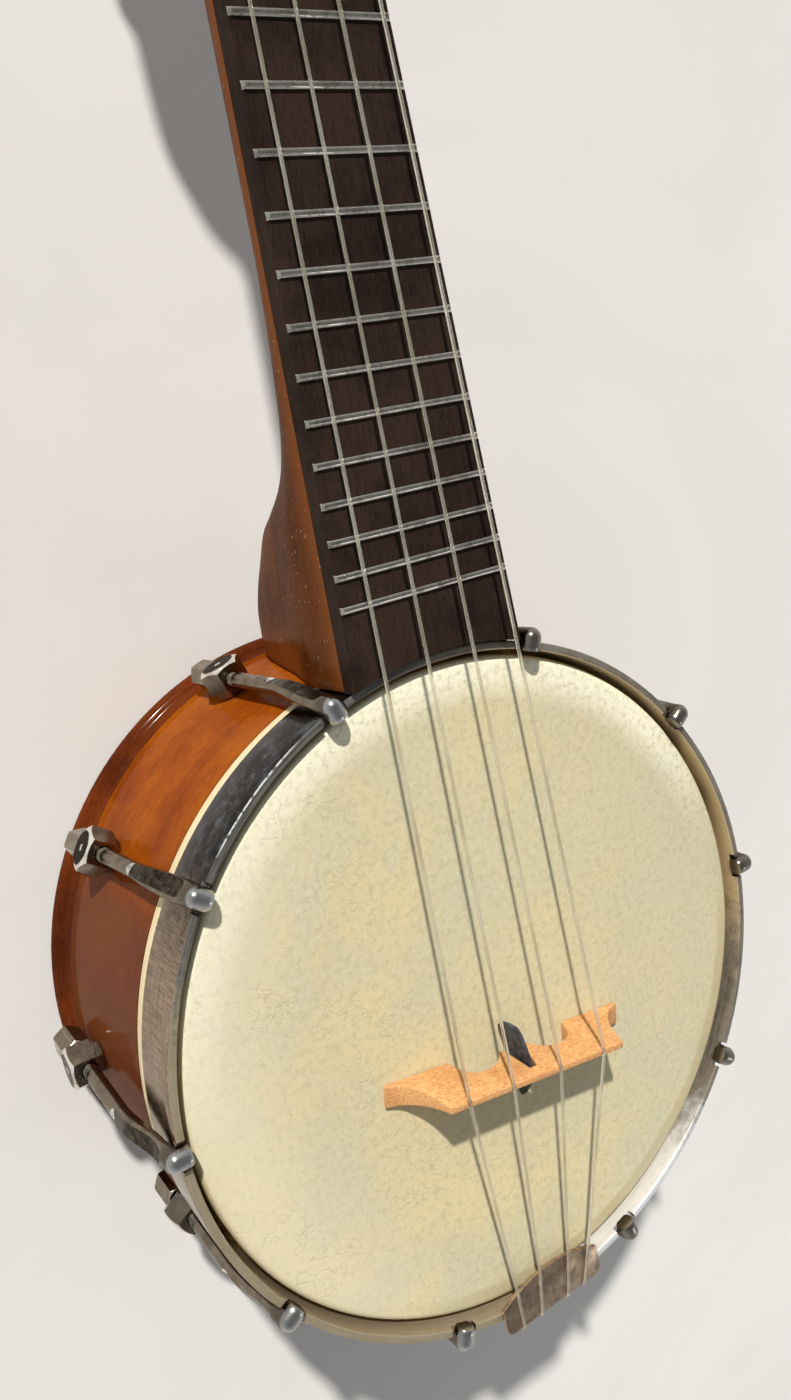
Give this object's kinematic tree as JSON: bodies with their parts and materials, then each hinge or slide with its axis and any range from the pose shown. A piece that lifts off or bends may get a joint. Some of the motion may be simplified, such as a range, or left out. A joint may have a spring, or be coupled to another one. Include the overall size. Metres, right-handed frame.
{
  "type": "banjo ukulele",
  "caption": "Small four-stringed banjo ukulele: drum pot with a stretched skin, tension hoop on bracket hooks, closed back, fretted neck and friction pegs.",
  "frame": {"origin": "centre of the drum pot on its flat back, on which the instrument lies", "axes": "+Z out of the drum head, +Y along the neck towards the headstock, +X towards the highest string"},
  "size_m": [0.2039, 0.5385, 0.1074],
  "materials": {
    "stained_wood": "stained and varnished to a gloss",
    "neck_wood": "stained dark and varnished",
    "inner_wood": "bare",
    "ebony": "oiled",
    "maple": "bare, with fine flecks",
    "skin": "matte, mottled, slightly translucent",
    "nickel": "worn nickel plate, fine scratches",
    "brass": "dull",
    "nylon": "clear monofilament",
    "bone": "polished bone",
    "dark_plate": "dark slate grey with worn edges",
    "button": "ivory-coloured plastic"
  },
  "bodies": {
    "pot": {"rim": "stained_wood", "back_plate": "stained_wood", "flesh_hoop": "brass", "head_skin": "skin", "tension_hoop": "nickel", "bracket_shoe_1": "nickel", "bracket_shoe_2": "nickel", "bracket_shoe_3": "nickel", "bracket_shoe_4": "nickel", "bracket_shoe_5": "nickel", "bracket_shoe_6": "nickel", "bracket_shoe_7": "nickel", "bracket_shoe_8": "nickel", "bracket_shoe_9": "nickel", "bracket_shoe_10": "nickel", "neck": "neck_wood", "fretboard": "ebony", "string_nut": "bone", "dowel_stick": "inner_wood", "tailpiece": "nickel", "end_bolt": "nickel", "bridge": "maple", "peg_collar_1": "nickel", "peg_collar_2": "nickel", "peg_collar_3": "nickel", "peg_collar_4": "nickel", "string_1": "nylon", "string_2": "nylon", "string_3": "nylon", "string_4": "nylon"},
    "hook_1": {"hook_1": "nickel"},
    "nut_1": {"bracket_nut_1": "nickel"},
    "hook_2": {"hook_2": "nickel"},
    "nut_2": {"bracket_nut_2": "nickel"},
    "hook_3": {"hook_3": "nickel"},
    "nut_3": {"bracket_nut_3": "nickel"},
    "hook_4": {"hook_4": "nickel"},
    "nut_4": {"bracket_nut_4": "nickel"},
    "hook_5": {"hook_5": "nickel"},
    "nut_5": {"bracket_nut_5": "nickel"},
    "hook_6": {"hook_6": "nickel"},
    "nut_6": {"bracket_nut_6": "nickel"},
    "hook_7": {"hook_7": "nickel"},
    "nut_7": {"bracket_nut_7": "nickel"},
    "hook_8": {"hook_8": "nickel"},
    "nut_8": {"bracket_nut_8": "nickel"},
    "hook_9": {"hook_9": "nickel"},
    "nut_9": {"bracket_nut_9": "nickel"},
    "hook_10": {"hook_10": "nickel"},
    "nut_10": {"bracket_nut_10": "nickel"},
    "peg_1": {"tuning_peg_1": "nickel", "peg_button_1": "button"},
    "peg_2": {"tuning_peg_2": "nickel", "peg_button_2": "button"},
    "peg_3": {"tuning_peg_3": "nickel", "peg_button_3": "button"},
    "peg_4": {"tuning_peg_4": "nickel", "peg_button_4": "button"},
    "plate": {"slot_plate": "dark_plate"}
  },
  "joints": [
    {"name": "hook_1_lift", "type": "slide", "parent": "pot", "child": "hook_1", "axis": [-0.0124, -0.0043, 0.9999], "range_m": [0, 0.0032]},
    {"name": "nut_1_turn", "type": "hinge", "parent": "pot", "child": "nut_1", "pos_m": [-0.03214, 0.09173, 0.0345], "axis": [0.0124, 0.0043, -0.9999], "range_deg": [0, 1530]},
    {"name": "hook_2_lift", "type": "slide", "parent": "pot", "child": "hook_2", "axis": [0.0295, 0.0411, 0.9987], "range_m": [0, 0.0032]},
    {"name": "nut_2_turn", "type": "hinge", "parent": "pot", "child": "nut_2", "pos_m": [-0.07893, 0.05672, 0.0345], "axis": [-0.0295, -0.0411, -0.9987], "range_deg": [0, 1530]},
    {"name": "hook_3_lift", "type": "slide", "parent": "pot", "child": "hook_3", "axis": [-0.0004, -0.0157, 0.9999], "range_m": [0, 0.0032]},
    {"name": "nut_3_turn", "type": "hinge", "parent": "pot", "child": "nut_3", "pos_m": [-0.09717, 0.00236, 0.0345], "axis": [0.0004, 0.0157, -0.9999], "range_deg": [0, 1530]},
    {"name": "hook_4_lift", "type": "slide", "parent": "pot", "child": "hook_4", "axis": [0, 0, 1], "range_m": [0, 0.0032]},
    {"name": "nut_4_turn", "type": "hinge", "parent": "pot", "child": "nut_4", "pos_m": [-0.08161, -0.0528, 0.0345], "axis": [0, 0, -1], "range_deg": [0, 1530]},
    {"name": "hook_5_lift", "type": "slide", "parent": "pot", "child": "hook_5", "axis": [0, 0, 1], "range_m": [0, 0.0032]},
    {"name": "nut_5_turn", "type": "hinge", "parent": "pot", "child": "nut_5", "pos_m": [-0.03594, -0.09031, 0.0345], "axis": [0, 0, -1], "range_deg": [0, 1530]},
    {"name": "hook_6_lift", "type": "slide", "parent": "pot", "child": "hook_6", "axis": [0, 0, 1], "range_m": [0, 0.0032]},
    {"name": "nut_6_turn", "type": "hinge", "parent": "pot", "child": "nut_6", "pos_m": [0.02663, -0.09348, 0.0345], "axis": [0, 0, -1], "range_deg": [0, 1530]},
    {"name": "hook_7_lift", "type": "slide", "parent": "pot", "child": "hook_7", "axis": [0, 0, 1], "range_m": [0, 0.0032]},
    {"name": "nut_7_turn", "type": "hinge", "parent": "pot", "child": "nut_7", "pos_m": [0.07732, -0.0589, 0.0345], "axis": [0, 0, -1], "range_deg": [0, 1530]},
    {"name": "hook_8_lift", "type": "slide", "parent": "pot", "child": "hook_8", "axis": [0, 0, 1], "range_m": [0, 0.0032]},
    {"name": "nut_8_turn", "type": "hinge", "parent": "pot", "child": "nut_8", "pos_m": [0.0972, 0.00085, 0.0345], "axis": [0, 0, -1], "range_deg": [0, 1530]},
    {"name": "hook_9_lift", "type": "slide", "parent": "pot", "child": "hook_9", "axis": [0, 0, 1], "range_m": [0, 0.0032]},
    {"name": "nut_9_turn", "type": "hinge", "parent": "pot", "child": "nut_9", "pos_m": [0.07943, 0.05603, 0.0345], "axis": [0, 0, -1], "range_deg": [0, 1530]},
    {"name": "hook_10_lift", "type": "slide", "parent": "pot", "child": "hook_10", "axis": [0, 0, 1], "range_m": [0, 0.0032]},
    {"name": "nut_10_turn", "type": "hinge", "parent": "pot", "child": "nut_10", "pos_m": [0.03004, 0.09244, 0.0345], "axis": [0, 0, -1], "range_deg": [0, 1530]},
    {"name": "peg_1_turn", "type": "hinge", "parent": "pot", "child": "peg_1", "pos_m": [-0.0175, 0.36091, 0.08352], "axis": [0, 0.2079, 0.9781], "continuous": true},
    {"name": "peg_2_turn", "type": "hinge", "parent": "pot", "child": "peg_2", "pos_m": [-0.0175, 0.402, 0.07478], "axis": [0, 0.2079, 0.9781], "continuous": true},
    {"name": "peg_3_turn", "type": "hinge", "parent": "pot", "child": "peg_3", "pos_m": [0.0175, 0.402, 0.07478], "axis": [0, 0.2079, 0.9781], "continuous": true},
    {"name": "peg_4_turn", "type": "hinge", "parent": "pot", "child": "peg_4", "pos_m": [0.0175, 0.36091, 0.08352], "axis": [0, 0.2079, 0.9781], "continuous": true},
    {"name": "plate_slide", "type": "slide", "parent": "pot", "child": "plate", "axis": [-0.1271, 0.9919, 0], "range_m": [0, 0.02]}
  ],
  "couplings": [
    {"joint": "nut_1_turn", "follows": "hook_1_lift", "rad_per_m": 7854},
    {"joint": "nut_2_turn", "follows": "hook_2_lift", "rad_per_m": 7854},
    {"joint": "nut_3_turn", "follows": "hook_3_lift", "rad_per_m": 7854},
    {"joint": "nut_4_turn", "follows": "hook_4_lift", "rad_per_m": 7854},
    {"joint": "nut_5_turn", "follows": "hook_5_lift", "rad_per_m": 7854},
    {"joint": "nut_6_turn", "follows": "hook_6_lift", "rad_per_m": 7854},
    {"joint": "nut_7_turn", "follows": "hook_7_lift", "rad_per_m": 7854},
    {"joint": "nut_8_turn", "follows": "hook_8_lift", "rad_per_m": 7854},
    {"joint": "nut_9_turn", "follows": "hook_9_lift", "rad_per_m": 7854},
    {"joint": "nut_10_turn", "follows": "hook_10_lift", "rad_per_m": 7854}
  ]
}
